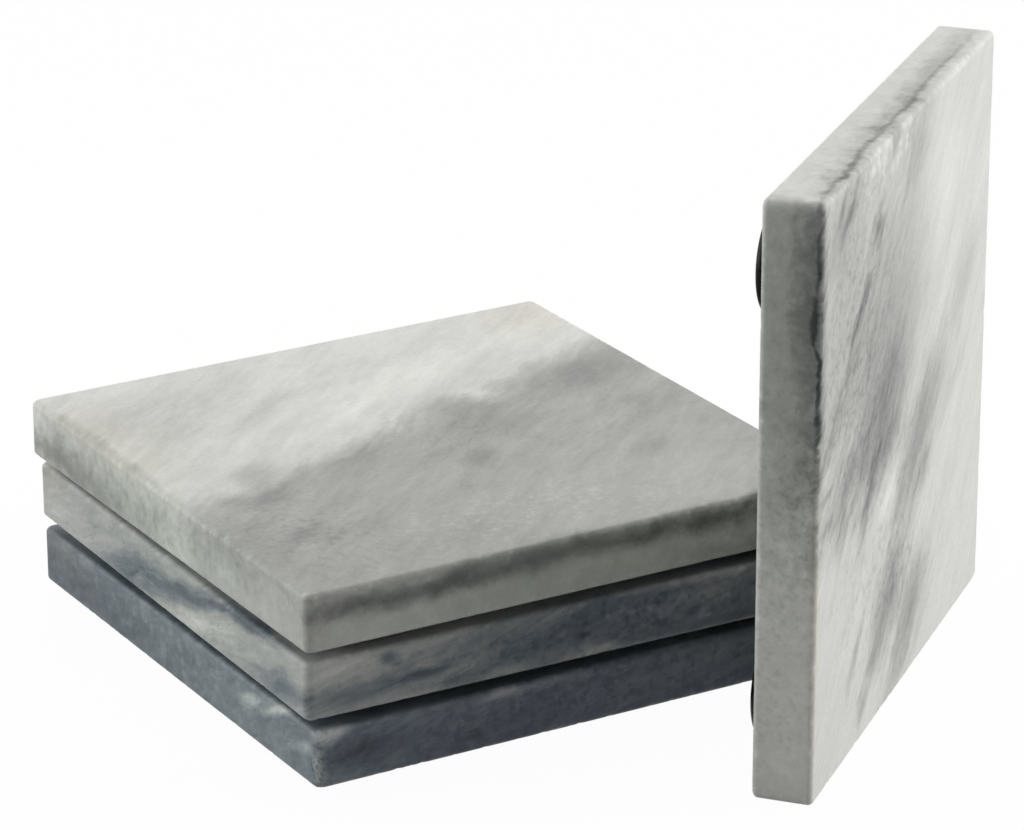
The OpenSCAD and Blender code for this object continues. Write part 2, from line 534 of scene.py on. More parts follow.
def raised(tree, tone, share, amount):
    """The tone plus share times amount, where share goes from 0 to 1."""
    return add(tree, "ShaderNodeMath", {0: share, 1: amount, 2: tone},
               operation="MULTIPLY_ADD").outputs[0]


def swayed(tree, tone, noise, amount):
    """The tone plus (2 noise - 1) times amount: as much up as down, so that its mean stays."""
    lowered = add(tree, "ShaderNodeMath", {0: tone, 1: amount}, operation="SUBTRACT").outputs[0]
    return raised(tree, lowered, noise, 2 * amount)


def speckled(tree, tone, region, grains, amount):
    """The tone changed inside a region, only where the grains' noise stands out."""
    grain = add(tree, "ShaderNodeMapRange", {
        "Value": grains,
        "From Min": SPECK_ENDS[0],
        "From Max": SPECK_ENDS[1],
    }, interpolation_type="SMOOTHSTEP").outputs["Result"]
    dots = add(tree, "ShaderNodeMath", {0: region, 1: grain}, operation="MULTIPLY").outputs[0]
    return raised(tree, tone, dots, amount)


def threaded(tree, tone, region, noise, width, amount):
    """The tone changed inside a region, along the line where a noise passes through its middle
    value: |noise - 0.5| < width."""
    ridge = add(tree, "ShaderNodeMath", {0: noise, 1: 0.5}, operation="SUBTRACT").outputs[0]
    ridge = add(tree, "ShaderNodeMath", {0: ridge}, operation="ABSOLUTE").outputs[0]
    line = add(tree, "ShaderNodeMapRange", {
        "Value": ridge,
        "From Min": 0.0,
        "From Max": width,
        "To Min": 1.0,
        "To Max": 0.0,
    }, interpolation_type="SMOOTHSTEP").outputs["Result"]
    thread = add(tree, "ShaderNodeMath", {0: region, 1: line}, operation="MULTIPLY").outputs[0]
    return raised(tree, tone, thread, amount)


def coloured(tree, tone, greys):
    """The tone's colour on a ramp, whose stops are pairs of a tone and a hex colour."""
    ramp = add(tree, "ShaderNodeValToRGB", {"Fac": tone})
    stops = ramp.color_ramp.elements
    for _ in range(len(greys) - 2):
        stops.new(0.5)
    for stop, (at, colour) in zip(stops, greys):
        stop.position = at
        stop.color = linear(colour)
    return ramp.outputs["Color"]


# %% The stone's colour


def stone_colour(tree, place, recipe):
    """The stone's colour at each place. A base tone gets clouds, one of them painted shade, beds,
    specks, threads, crystals and bared stone added, a ramp turns it to a colour, and stains and a
    painted green tint of the light on the sides multiply that."""
    seed = recipe["seed"]
    slow = pushed(tree, place, *SLOW_PUSH, seed)
    worked = pushed(tree, slow, *FINE_PUSH, seed + FINE_SEED)
    torn = drawn_noise(tree, worked, recipe["tear_sizes"], recipe["tear_lean"], seed + TEAR_SEED)
    torn = add(tree, "ShaderNodeMath", {0: torn, 1: 2.0, 2: -1.0},
               operation="MULTIPLY_ADD").outputs[0]

    def region(middle, radii, lean=UNTURNED, soft=1.0):
        """A cloud in this stone, its edge torn by this stone's noise; it also draws the painted shade and
        the painted green tint of the light.
        """
        return cloud(tree, worked, torn, recipe["tear"], middle, radii, lean, soft)

    tone = recipe["base"]
    for middle, radii, lean, amount, soft in recipe["clouds_and_shade"]:
        tone = raised(tree, tone, region(middle, radii, lean, soft), amount)
    for number, (sizes, lean, amount) in enumerate(recipe["beds"]):
        tone = swayed(tree, tone, drawn_noise(tree, slow, sizes, lean, seed + number), amount)
    for middle, radii, lean, size, amount in recipe["specks"]:
        grains = drawn_noise(tree, worked, (size, size, size), UNTURNED, seed + size, detail=1.0)
        tone = speckled(tree, tone, region(middle, radii, lean), grains, amount)
    for middle, radii, sizes, lean, width, amount in recipe["threads"]:
        noise = drawn_noise(tree, slow, sizes, lean, seed + THREAD_SEED, detail=3.0)
        tone = threaded(tree, tone, region(middle, radii), noise, width, amount)
    crystals = drawn_noise(tree, place, CRYSTAL_SIZES, UNTURNED, seed, detail=3.0, roughness=0.7)
    tone = swayed(tree, tone, crystals, CRYSTALS)
    fresh = add(tree, "ShaderNodeAttribute", attribute_name="fresh").outputs["Fac"]
    colour = coloured(tree, raised(tree, tone, fresh, FRESH), recipe["colours"])
    for middle, radii, tint, amount in recipe["stains_and_light_casts"]:
        share = add(tree, "ShaderNodeMath", {0: region(middle, radii), 1: amount},
                    operation="MULTIPLY").outputs[0]
        colour = add(tree, "ShaderNodeMix", {"Factor": share, "A": colour, "B": linear(tint)},
                     data_type="RGBA", blend_type="MULTIPLY").outputs["Result"]
    return colour


# %% [markdown]
# Honing grinds marble flat with fine grit and stops short of a polish, so it only half shines.
# Roughness drifts from patch to patch, and a fine bump stands for the grain that the grit left,
# which is too small to build.

# %% The honed surface
CALCITE_IOR = 1.5
MARBLE_SHINE = 0.4
PATCHES_PER_MM = 0.35
PATCH_ENDS = (0.3, 0.7)
HONED_ROUGHNESS = (0.42, 0.56)
GRAINS_PER_MM = 1.8
GRAIN_DEPTH = 0.06


def marble(name, recipe):
    """Honed marble on one slab: calcite, IOR 1.5, with the recipe's colours."""
    material, tree, shader = new_material(recipe["name"])
    place = slab_position(tree, name)
    patches = add(tree, "ShaderNodeTexNoise", {
        "Vector": place,
        "Scale": PATCHES_PER_MM,
        "Detail": 4.0,
    }).outputs["Fac"]
    roughness = add(tree, "ShaderNodeMapRange", {
        "Value": patches,
        "From Min": PATCH_ENDS[0],
        "From Max": PATCH_ENDS[1],
        "To Min": HONED_ROUGHNESS[0],
        "To Max": HONED_ROUGHNESS[1],
    }, interpolation_type="SMOOTHSTEP").outputs["Result"]
    grain = add(tree, "ShaderNodeTexNoise", {
        "Vector": place,
        "Scale": GRAINS_PER_MM,
        "Detail": 4.0,
        "Roughness": 0.65,
    }).outputs["Fac"]
    bump = add(tree, "ShaderNodeBump", {
        "Height": grain,
        "Strength": 0.35,
        "Distance": GRAIN_DEPTH * MM,
    }).outputs["Normal"]
    tree.links.new(stone_colour(tree, place, recipe), shader.inputs["Base Color"])
    tree.links.new(roughness, shader.inputs["Roughness"])
    tree.links.new(bump, shader.inputs["Normal"])
    shader.inputs["IOR"].default_value = CALCITE_IOR
    shader.inputs["Specular IOR Level"].default_value = MARBLE_SHINE
    slabs[name].data.materials.append(material)
    return material


# %% [markdown]
# ### What a recipe holds
#
# A tone is a share from black to white, as the eye sees it, and a ramp turns it into the faint
# green of pale marble or the blue of dark marble. The base is the tone before anything is added. A
# cloud is a middle, three radii in millimetres, three angles that it leans by, the tone that it adds
# and how soft its edge is. Most clouds are the stone's own, but one on the top coaster is painted
# shade. The tear is how far, in millimetres, a noise with sizes and a lean of its own draws the
# clouds' edges out. A bed is three grain sizes, three angles and the most that it adds. Specks lie
# in a region of their own, and have a size and the tone that they add. Threads lie in a region too,
# and have the sizes and angles of their noise, a width and the tone that they add. A stain is a
# region, a tint and its strength. Besides real stains, the list holds a painted green tint of the
# light on the coasters' sides.

# %% Ramps
PALE_GREYS = [(0.0, "#0C0D0E"), (0.2, "#313332"), (0.4, "#656764"),
              (0.6, "#989995"), (0.8, "#CBCCC7"), (1.0, "#FAFAF4")]
BLUE_GREYS = [(0.0, "#0A0B0F"), (0.2, "#252B36"), (0.4, "#5A646D"),
              (0.6, "#8E979B"), (0.8, "#C9CCC9"), (1.0, "#FAFAF6")]
MIXED_GREYS = [(0.0, "#080B10"), (0.2, "#252E38"), (0.4, "#5B666E"),
               (0.55, "#868C8D"), (0.7, "#B2B4B0"), (1.0, "#FAFAF4")]
print("colours in a ramp:", len(PALE_GREYS))

# %% [markdown]
# ### The top coaster: pale clouds over grey
#
# A wavy front crosses the face from the left side to the right one. Behind it the stone is almost
# white, and in front of it the grey is darkest and then lightens again. Along the front side a
# darker bed shows edge on. Towards its right end the front side is darkened further with painted
# shade, where the standing coaster shades it.

# %% Top coaster's stone
TOP = {
    "name": "grey_marble_honed", "slot": "grey_marble", "seed": 3.0, "base": 0.69, "colours": PALE_GREYS,
    "tear": 5.0, "tear_sizes": (11, 3.0, 3.0), "tear_lean": (0, 0, 40),
    "clouds_and_shade": [
        ((-18, 61, 5), (300, 62, 40), (0, 0, 20), 0.18, 0.15),
        ((8, 26, 10), (30, 9, 12), (0, 0, 25), 0.06, 1.0),
        ((-10, 14, 10), (22, 5, 10), (0, 0, 30), 0.05, 1.0),
        ((30, 32, 10), (26, 12, 12), (0, 0, 20), 0.03, 1.0),
        ((18, 12, 10), (6, 6, 8), (0, 0, 0), 0.07, 1.0),
        ((-50, 26, 2), (12, 46, 8), (0, 0, 0), -0.12, 0.7),
        ((-50, 40, 2.5), (6, 28, 4.2), (0, 0, 0), -0.15, 1.0),
        ((-26, 37, 10), (26, 9, 8), (0, 0, 35), -0.07, 1.0),
        ((-42, 30, 10), (20, 22, 8), (0, 0, 30), -0.05, 1.0),
        ((-20, 24, 10), (18, 3.6, 6), (0, 0, 42), -0.06, 1.0),
        ((9, 11, 10), (9, 7, 8), (0, 0, 20), -0.12, 1.0),
        ((13, 2, 10), (13, 12, 10), (0, 0, 25), -0.07, 1.0),
        ((38, 14, 10), (22, 12, 10), (0, 0, 22), -0.10, 1.0),
        ((-16, -1, 10), (22, 7, 8), (0, 0, 26), -0.06, 1.0),
        ((-33, 0, 10), (9, 6, 6), (0, 0, 48), -0.14, 1.0),
        ((-35, -10, 10), (11, 4, 6), (0, 0, 25), -0.10, 1.0),
        ((-42, -9, 10), (4, 3, 5), (0, 0, 25), -0.08, 1.0),
        ((3, -13, 10), (7, 4.4, 6), (0, 0, 40), -0.08, 1.0),
        ((-36, -29, 10), (8, 7, 6), (0, 0, 30), -0.08, 1.0),
        ((-26, -29, 10), (7, 5, 6), (0, 0, 30), -0.05, 1.0),
        ((-11, -25, 10), (30, 6, 8), (0, 0, 22), -0.03, 1.0),
        ((-46, -32, 10), (12, 30, 8), (0, 0, 0), -0.05, 1.0),
        ((39, -3, 10), (7, 5, 6), (0, 0, 30), -0.05, 1.0),
        ((31, -24, 10), (6, 5, 6), (0, 0, 30), -0.04, 1.0),
        ((16, -34, 8), (60, 34, 20), (0, 0, 0), 0.07, 1.0),
        ((-32, -50, 6.2), (26, 4, 3.0), (0, 0, 0), -0.14, 1.0),
        ((-2, -50, 7.2), (70, 4, 3.3), (0, -1.2, 0), -0.28, 1.0),
        ((-16, -50, 2), (54, 3, 8), (0, 0, 0), 0.06, 1.0),
        # Painted shade: the standing coaster's shadow darkens the right end of the front side.
        ((38, -50, 5), (36, 3, 12), (0, 0, 0), -0.21, 1.0),
        ((34, -50, 4.2), (28, 3, 2.4), (0, -2, 0), 0.07, 1.0),
        ((-50, -20, 2.5), (4, 44, 3.6), (0, 0, 0), 0.04, 1.0),
        ((-50, 20, 5), (3, 44, 16), (0, 0, 0), -0.09, 0.6),
    ],
    "beds": [((26, 7, 7), (0, 0, 38), 0.09), ((7, 1.8, 2.4), (0, 0, 42), 0.06)],
    "specks": [((-2, -38, 10), (44, 22, 4), (0, 0, 0), 1.5, 0.07),
               ((-38, -28, 10), (24, 34, 4), (0, 0, 0), 1.7, -0.06),
               ((-50, 0, 5), (3, 70, 9), (0, 0, 0), 2.3, -0.09)],
    "threads": [((10, -8, 10), (50, 44, 8), (24, 7, 8), (0, 0, 40), 0.02, -0.035)],
    "stains_and_light_casts": [((-50, 24, 10), (18, 34, 2.2), RUST, 0.3),
               ((44, 44, 10), (16, 16, 6), RUST, 0.3),
               # Painted light: these two green tints on the left and front sides stand for the greenish
               # cast of reflected light.
               ((-50, 0, 4), (3, 80, 12), GREEN_LIGHT_CAST, 0.7),
               ((0, -50, 4), (70, 2, 12), GREEN_LIGHT_CAST, 0.7)],
}

# %% [markdown]
# ### The middle coaster: blue veins in pale grey
#
# Its beds lie tilted, so the same vein climbs towards the front on one side of the slab and towards
# the right on the other. Two veins cross the left side, with a pale wedge between them, and most of
# the front side is one dark bed.

# %% Middle coaster's stone
MIDDLE = {
    "name": "veined_marble_honed", "slot": "veined_marble", "seed": 19.0, "base": 0.65,
    "colours": MIXED_GREYS,
    "tear": 1.6, "tear_sizes": (8, 8, 1.6), "tear_lean": (-15, -14, 0),
    "clouds_and_shade": [
        ((-50, 41, 4.0), (6, 17, 7.0), (0, 0, 0), 0.06, 1.0),
        ((-50, 14, 3.4), (6, 19, 3.8), (-13, 0, 0), -0.26, 1.0),
        ((-50, 12, 0.6), (6, 12, 2.6), (-8, 0, 0), -0.15, 1.0),
        ((-50, -4, 5.6), (6, 24, 3.2), (-14, 0, 0), -0.30, 1.0),
        ((-50, -28, 9.6), (3, 20, 2.2), (-3, 0, 0), -0.32, 1.0),
        ((-50, -10, 2.4), (5, 22, 2.8), (-12, 0, 0), 0.18, 1.0),
        ((-50, -42, 2.6), (3, 17, 3.6), (-6, 0, 0), -0.23, 1.0),
        ((24, -50, 3.0), (58, 14, 12), (0, -6, 0), -0.18, 0.3),
        ((-18, -50, 8.0), (24, 5, 3.4), (0, -8, 0), -0.13, 1.0),
        ((-8, -50, 5), (20, 5, 4.0), (0, -12, 0), -0.11, 1.0),
        ((-28, -50, 4.4), (10, 4, 1.6), (0, -12, 0), -0.22, 1.0),
        ((-44, -50, 8), (12, 4, 4), (0, 0, 0), 0.11, 1.0),
        ((0, -50, 3.6), (2.4, 3, 1.2), (0, 0, 0), -0.24, 1.0),
        ((-38, -50, 2.6), (20, 4, 3.4), (0, -4, 0), -0.22, 1.0),
        ((-14, -50, 1.0), (8, 4, 1.8), (0, 0, 0), 0.20, 1.0),
        ((3, -50, 0.6), (8, 4, 1.6), (0, 0, 0), 0.20, 1.0),
        ((22, -50, 9.8), (26, 4, 1.8), (0, 0, 0), 0.16, 1.0),
        ((20, -50, 6.4), (18, 4, 2.4), (0, -6, 0), 0.08, 1.0),
        ((-35, -50, 7.7), (2.6, 2, 1.6), (0, 0, 0), -0.28, 1.0),
    ],
    "beds": [((22, 22, 3.5), (-14, -14, 0), 0.12), ((5, 5, 1.2), (-16, -14, 0), 0.09)],
    "specks": [((10, -50, 5), (60, 5, 8), (0, 0, 0), 2.2, 0.10),
               ((0, -50, 5), (70, 5, 8), (0, 0, 0), 1.6, -0.12)],
    "threads": [((-50, 0, 5), (6, 70, 12), (18, 18, 4), (-15, -14, 0), 0.025, -0.06),
                ((0, -50, 5), (70, 6, 12), (16, 16, 4), (-15, -12, 0), 0.025, -0.06)],
    "stains_and_light_casts": [((-50, 46, 9), (5, 12, 6), RUST, 0.4),
               # Painted light: a green tint on the left side for the greenish cast of reflected light.
               ((-50, -10, 6), (5, 70, 10), GREEN_LIGHT_CAST, 0.4),
               ((20, -50, 5), (60, 4, 12), SLATE, 0.6)],
}

# %% [markdown]
# ### The bottom coaster: dark blue
#
# The darkest stone has the most graphite. Thin white threads climb towards its front corner, and
# the corner itself is chipped back to paler stone.

# %% Bottom coaster's stone
BOTTOM = {
    "name": "dark_marble_honed", "slot": "dark_marble", "seed": 41.0, "base": 0.44, "colours": BLUE_GREYS,
    "tear": 1.6, "tear_sizes": (6, 6, 1.4), "tear_lean": (-17, -15, 0),
    "clouds_and_shade": [
        ((-50, 30, 3), (6, 46, 7), (0, 0, 0), -0.10, 1.0),
        ((-50, -34, 5), (5, 40, 9), (0, 0, 0), 0.02, 1.0),
        ((-50, -28, 7), (3, 8, 1.8), (-16, 0, 0), 0.24, 1.0),
        ((-50, -35, 7.6), (3, 7, 1.5), (-20, 0, 0), 0.26, 1.0),
        ((-50, -38, 9), (3, 7, 1.5), (-12, 0, 0), 0.26, 1.0),
        ((-50, -46, 6), (3, 6, 1.5), (-20, 0, 0), 0.22, 1.0),
        ((-47, -50, 8.8), (7, 3, 2.4), (0, -8, 0), 0.34, 1.0),
        ((-50, -50, 4), (2.6, 2.0, 8), (0, 0, 0), 0.44, 1.0),
        ((-41, -50, 5), (11, 4, 3.4), (0, -8, 0), -0.20, 1.0),
        ((-26, -50, 3), (24, 4, 4.0), (0, 0, 0), -0.04, 1.0),
        ((-16, -50, 9.3), (6, 3, 1.6), (0, 0, 0), 0.26, 1.0),
        ((-6, -50, 9.6), (14, 3, 1.6), (0, 0, 0), 0.12, 1.0),
        ((28, -50, 7), (34, 5, 6), (0, -5, 0), 0.08, 1.0),
    ],
    "beds": [((18, 18, 3), (-16, -16, 0), 0.12), ((4, 4, 1.5), (-18, -16, 0), 0.13)],
    "specks": [((0, -50, 5), (70, 5, 9), (0, 0, 0), 1.8, -0.16),
               ((-20, -50, 5), (40, 5, 9), (0, 0, 0), 2.9, 0.08),
               ((-50, 0, 5), (5, 70, 9), (0, 0, 0), 2.4, 0.10),
               ((-50, -50, 4), (4, 4, 9), (0, 0, 0), 0.8, -0.3)],
    "threads": [((-50, -34, 6), (5, 44, 10), (12, 12, 4), (-18, -15, 0), 0.012, 0.12),
                ((-10, -50, 5), (70, 5, 12), (14, 14, 4), (-14, -12, 0), 0.012, 0.08)],
    "stains_and_light_casts": [((-50, 42, 7), (5, 16, 8), RUST, 0.5),
               # Painted light: a green tint on the left side for the greenish cast of reflected light.
               ((-50, 0, 5), (6, 80, 12), GREEN_LIGHT_CAST, 0.5),
               ((0, -50, 5), (70, 4, 12), SLATE, 0.8)],
}

# %% [markdown]
# ### The standing coaster: smears across white
#
# The palest stone has the plainest drawing. Its smears lean at about 45 degrees, are darkest at
# their lower ends, and thin out to bare white on the far half. One black thread runs just under
# the drinking face's arris, and another along the upper side.

# %% Standing coaster's stone
STANDING = {
    "name": "pale_marble_honed", "slot": "pale_marble", "seed": 67.0, "base": 0.86, "colours": PALE_GREYS,
    "tear": 3.0, "tear_sizes": (9, 2.0, 2.4), "tear_lean": (0, 0, 45),
    "clouds_and_shade": [
        ((-12, 16, 10), (44, 32, 12), (0, 0, 58), -0.20, 1.0),
        ((-16, 3, 10), (27, 14, 9), (0, 0, 30), -0.18, 1.0),
        ((-11, -2, 10), (15, 6, 9), (0, 0, 25), -0.12, 1.0),
        ((-20, -7, 10), (13, 4, 8), (0, 0, 55), -0.20, 1.0),
        ((-10, -12, 10), (11, 6, 8), (0, 0, 20), 0.10, 1.0),
        ((6, -9, 10), (27, 10, 9), (0, 0, 42), -0.23, 1.0),
        ((13, -15, 10), (7, 5, 8), (0, 0, 45), -0.16, 1.0),
        ((7, -19, 10), (13, 4, 8), (0, 0, 45), -0.12, 1.0),
        ((-8, -31, 10), (18, 11, 9), (0, 0, 40), -0.27, 1.0),
        ((7, -37, 10), (16, 12, 9), (0, 0, 40), -0.23, 1.0),
        ((-17, -39, 10), (7, 4, 8), (0, 0, 35), -0.18, 1.0),
        ((-22, -44, 10), (5, 4, 8), (0, 0, 45), -0.17, 1.0),
        ((-3, -46, 10), (18, 8, 8), (0, 0, 30), -0.11, 1.0),
        ((-27, -33, 10), (9, 2.6, 8), (0, 0, 50), -0.15, 1.0),
        ((-29, 26, 10), (12, 2.4, 8), (0, 0, 42), -0.15, 1.0),
        ((-20, 36, 10), (7, 5, 8), (0, 0, 40), -0.12, 1.0),
        ((-9, 12, 10), (5, 4, 8), (0, 0, 45), -0.08, 1.0),
        ((3, 45, 10), (16, 9, 8), (0, 0, 30), -0.13, 1.0),
        ((-37, 44, 10), (15, 9, 8), (0, 0, 35), -0.14, 1.0),
        ((-12, 48, 10), (7, 3, 6), (0, 0, 30), -0.16, 1.0),
        ((-43, 10, 10), (15, 3.4, 8), (0, 0, 32), -0.13, 1.0),
        ((-37, 17, 10), (16, 3.4, 8), (0, 0, 28), -0.08, 1.0),
        ((-38, -3, 10), (20, 9, 8), (0, 0, 22), -0.14, 1.0),
        ((-37, -10, 10), (7, 5, 8), (0, 0, 30), -0.08, 1.0),
        ((-38, 26, 10), (34, 44, 10), (0, 0, 0), -0.13, 1.0),
        ((34, 11, 10), (16, 9, 8), (0, 0, 40), -0.09, 1.0),
        ((27, -7, 10), (19, 4, 8), (0, 0, 25), -0.06, 1.0),
        ((18, -3, 10), (22, 12, 9), (0, 0, 35), -0.08, 1.0),
        ((20, 32, 10), (24, 16, 9), (0, 0, 30), 0.05, 1.0),
        ((-50, 26, 5), (5, 54, 12), (0, 0, 0), -0.16, 0.8),
        ((-50, 36, 8.5), (4, 38, 4.6), (0, 0, 0), -0.17, 1.0),
        ((-50, 38, 9.4), (2, 22, 0.6), (1, 0, 0), -0.24, 1.0),
        ((-50, 31, 9.0), (2, 7, 0.7), (0, 0, 0), -0.26, 1.0),
        ((-50, 20, 9.4), (2, 15, 0.6), (-1, 0, 0), -0.42, 1.0),
        ((-30, 25, 10), (10, 1.1, 6), (0, 0, 48), -0.16, 1.0),
        ((-25, 29, 10), (4, 1.8, 6), (0, 0, 45), -0.20, 1.0),
        ((-19, 37, 10), (3.4, 2.2, 6), (0, 0, 30), -0.16, 1.0),
        ((-36, 44, 10), (6, 1.8, 6), (0, 0, 30), -0.17, 1.0),
        ((-40, 46, 10), (4, 1.6, 6), (0, 0, 60), -0.14, 1.0),
        ((-46, 1, 10), (6, 1.6, 6), (0, 0, 15), -0.16, 1.0),
        ((-45, -5, 10), (5, 1.5, 6), (0, 0, 15), -0.14, 1.0),
        ((0, 50, 7.8), (70, 3, 1.0), (0, 1.0, 0), -0.16, 1.0),
        ((-32, 50, 8.2), (30, 3, 1.1), (0, 1.0, 0), -0.09, 1.0),
        ((10, 50, 6.9), (74, 3, 4.0), (0, 1.5, 0), -0.16, 1.0),
        ((0, 50, 3), (70, 3, 8), (0, 0, 0), -0.03, 1.0),
    ],
    "beds": [((26, 5, 8), (0, 0, 46), 0.06), ((7, 1.5, 2), (0, 0, 46), 0.035)],
    "specks": [((-34, 22, 10), (34, 50, 5), (0, 0, 0), 1.6, -0.10),
               ((-10, -24, 10), (44, 34, 5), (0, 0, 0), 2.0, -0.07),
               ((-16, 47, 10), (36, 6, 4), (0, 0, 0), 2.2, 0.12),
               ((-50, -10, 5), (2, 70, 12), (0, 0, 0), 1.3, -0.07)],
    "threads": [((-22, 10, 10), (40, 60, 8), (14, 3.5, 5), (0, 0, 46), 0.02, -0.09),
                ((0, -30, 10), (34, 30, 8), (12, 3, 5), (0, 0, 44), 0.025, -0.08)],
    "stains_and_light_casts": [((-50, -20, 10), (4, 40, 3), RUST, 0.3),
               # Painted light: a green tint on the near side for the greenish cast of reflected light.
               ((-50, 20, 5), (2, 60, 12), GREEN_LIGHT_CAST, 0.5)],
}

# %% Every slab gets its stone
RECIPES = {"top": TOP, "middle": MIDDLE, "bottom": BOTTOM, "standing": STANDING}
for name, recipe in RECIPES.items():
    material = marble(name, recipe)
    print(material.name, "has", len(recipe["clouds_and_shade"]), "clouds and", len(material.node_tree.nodes), "nodes")

# %% [markdown]
# ## Moulded rubber and clear adhesive
#
# The feet are injection-moulded in polished steel, so soft black rubber comes out glossy, with
# faint flow waves. The film is a pale, slightly cloudy acrylic.

# %% Rubber and adhesive
RUBBER_IOR, RUBBER_SHINE = 1.5, 0.1
ACRYLIC_IOR = 1.47
FLOW_SIZE, FLOW_DEPTH = 4.0, 0.1
DUST_SIZE = 0.4
AIR_SIZE = 1.5


def mottled(tree, shader, noise, colour_ends, colours, rough_ends, roughnesses):
    """Links a shader's colour and roughness to a noise. Between the two ends of each, as levels of
    the noise, the first colour or roughness passes smoothly into the second."""
    share = add(tree, "ShaderNodeMapRange", {
        "Value": noise,
        "From Min": colour_ends[0],
        "From Max": colour_ends[1],
    }, interpolation_type="SMOOTHSTEP").outputs["Result"]
    colour = add(tree, "ShaderNodeMix", {
        "Factor": share,
        "A": linear(colours[0]),
        "B": linear(colours[1]),
    }, data_type="RGBA").outputs["Result"]
    roughness = add(tree, "ShaderNodeMapRange", {
        "Value": noise,
        "From Min": rough_ends[0],
        "From Max": rough_ends[1],
        "To Min": roughnesses[0],
        "To Max": roughnesses[1],
    }, interpolation_type="SMOOTHSTEP").outputs["Result"]
    tree.links.new(colour, shader.inputs["Base Color"])
    tree.links.new(roughness, shader.inputs["Roughness"])


def moulded_rubber():
    """Black polyurethane rubber, IOR 1.5, glossy where the mould was polished. Dust dulls it, and
    is drawn at 0.4 mm, coarser than it is, so that it shows."""
    material, tree, shader = new_material("black_rubber_moulded")
    position = add(tree, "ShaderNodeTexCoord").outputs["Object"]
    flow = add(tree, "ShaderNodeTexNoise", {
        "Vector": position,
        "Scale": 1 / (FLOW_SIZE * MM),
        "Detail": 2.0,
    }).outputs["Fac"]
    dust = add(tree, "ShaderNodeTexNoise", {
        "Vector": position,
        "Scale": 1 / (DUST_SIZE * MM),
        "Detail": 3.0,
    }).outputs["Fac"]
    bump = add(tree, "ShaderNodeBump", {
        "Height": flow,
        "Strength": 0.2,
        "Distance": FLOW_DEPTH * MM,
    }).outputs["Normal"]
    mottled(tree, shader, dust, (0.55, 0.75), ("#060607", "#121213"), (0.4, 0.8), (0.2, 0.38))
    tree.links.new(bump, shader.inputs["Normal"])
    shader.inputs["IOR"].default_value = RUBBER_IOR
    shader.inputs["Specular IOR Level"].default_value = RUBBER_SHINE
    return material


def acrylic_film():
    """Clear acrylic adhesive, IOR 1.47, cloudy from the air it traps."""
    material, tree, shader = new_material("acrylic_adhesive_film")
    air = add(tree, "ShaderNodeTexNoise", {
        "Vector": add(tree, "ShaderNodeTexCoord").outputs["Object"],
        "Scale": 1 / (AIR_SIZE * MM),
        "Detail": 3.0,
    }).outputs["Fac"]
    mottled(tree, shader, air, (0.35, 0.65), ("#8F918C", "#B9BBB5"), (0.3, 0.7), (0.3, 0.5))
    shader.inputs["IOR"].default_value = ACRYLIC_IOR
    return material


rubber, adhesive = moulded_rubber(), acrylic_film()
for pieces, material, slot in ((feet, rubber, "foot_rubber"), (films, adhesive, "foot_adhesive")):
    for piece in pieces:
        piece.data.materials.append(material)
print("materials:", sorted(m.name for m in bpy.data.materials if m.users))

# %% [markdown]
# ## Table, light and camera
#
# The set stands on a white sweep between two soft boxes and under a third, with the camera's side
# left dark. The floor is matt white. What the camera sees of it is mostly plain white, and the rest
# is its real shading, which keeps the set's soft shadow.

# %% White floor and world
FLOOR_SIZE = 12.0
FLOOR_GLOW = 0.97
SHADOW_ENDS = (0.25, 1.2)
PAPER = (0.45, 0.45, 0.45, 1)
WHITE = (1, 1, 1, 1)
WORLD_LIGHT = 0.18


def sees_white(tree):
    """1 for the rays that should meet a white backdrop: camera, glossy and transmission rays."""
    path = add(tree, "ShaderNodeLightPath").outputs
    seen = path["Is Camera Ray"]
    for ray in ("Is Glossy Ray", "Is Transmission Ray"):
        seen = add(tree, "ShaderNodeMath", {0: seen, 1: path[ray]}, operation="MAXIMUM").outputs[0]
    return seen


def white_floor():
    """A matt white plane. For camera, glossy and transmission rays most of it is white light, and
    far from the set, where no shadow falls, all of it is, so that no horizon shows."""
    material = bpy.data.materials.new("white_paper")
    material.use_nodes = True
    tree = material.node_tree
    tree.nodes.clear()
    seen = sees_white(tree)
    place = add(tree, "ShaderNodeTexCoord").outputs["Object"]
    away = add(tree, "ShaderNodeVectorMath", {0: place}, operation="LENGTH").outputs["Value"]
    glowing = add(tree, "ShaderNodeMapRange", {
        "Value": away,
        "From Min": SHADOW_ENDS[0],
        "From Max": SHADOW_ENDS[1],
        "To Min": FLOOR_GLOW,
        "To Max": 1.0,
    }, interpolation_type="SMOOTHSTEP").outputs["Result"]
    share = add(tree, "ShaderNodeMath", {0: seen, 1: glowing}, operation="MULTIPLY").outputs[0]
    tint = add(tree, "ShaderNodeMix", {"Factor": seen, "A": PAPER, "B": WHITE},
               data_type="RGBA").outputs["Result"]
    paper = add(tree, "ShaderNodeBsdfDiffuse", {"Color": tint})
    glow = add(tree, "ShaderNodeEmission", {"Color": WHITE, "Strength": 1.0})
    mixed = add(tree, "ShaderNodeMixShader", {0: share, 1: paper.outputs[0], 2: glow.outputs[0]})
    add(tree, "ShaderNodeOutputMaterial", {"Surface": mixed.outputs[0]})
    bpy.ops.mesh.primitive_plane_add(size=FLOOR_SIZE)
    floor = bpy.context.object
    floor.name = "paper_floor"
    floor.data.materials.append(material)
    return floor


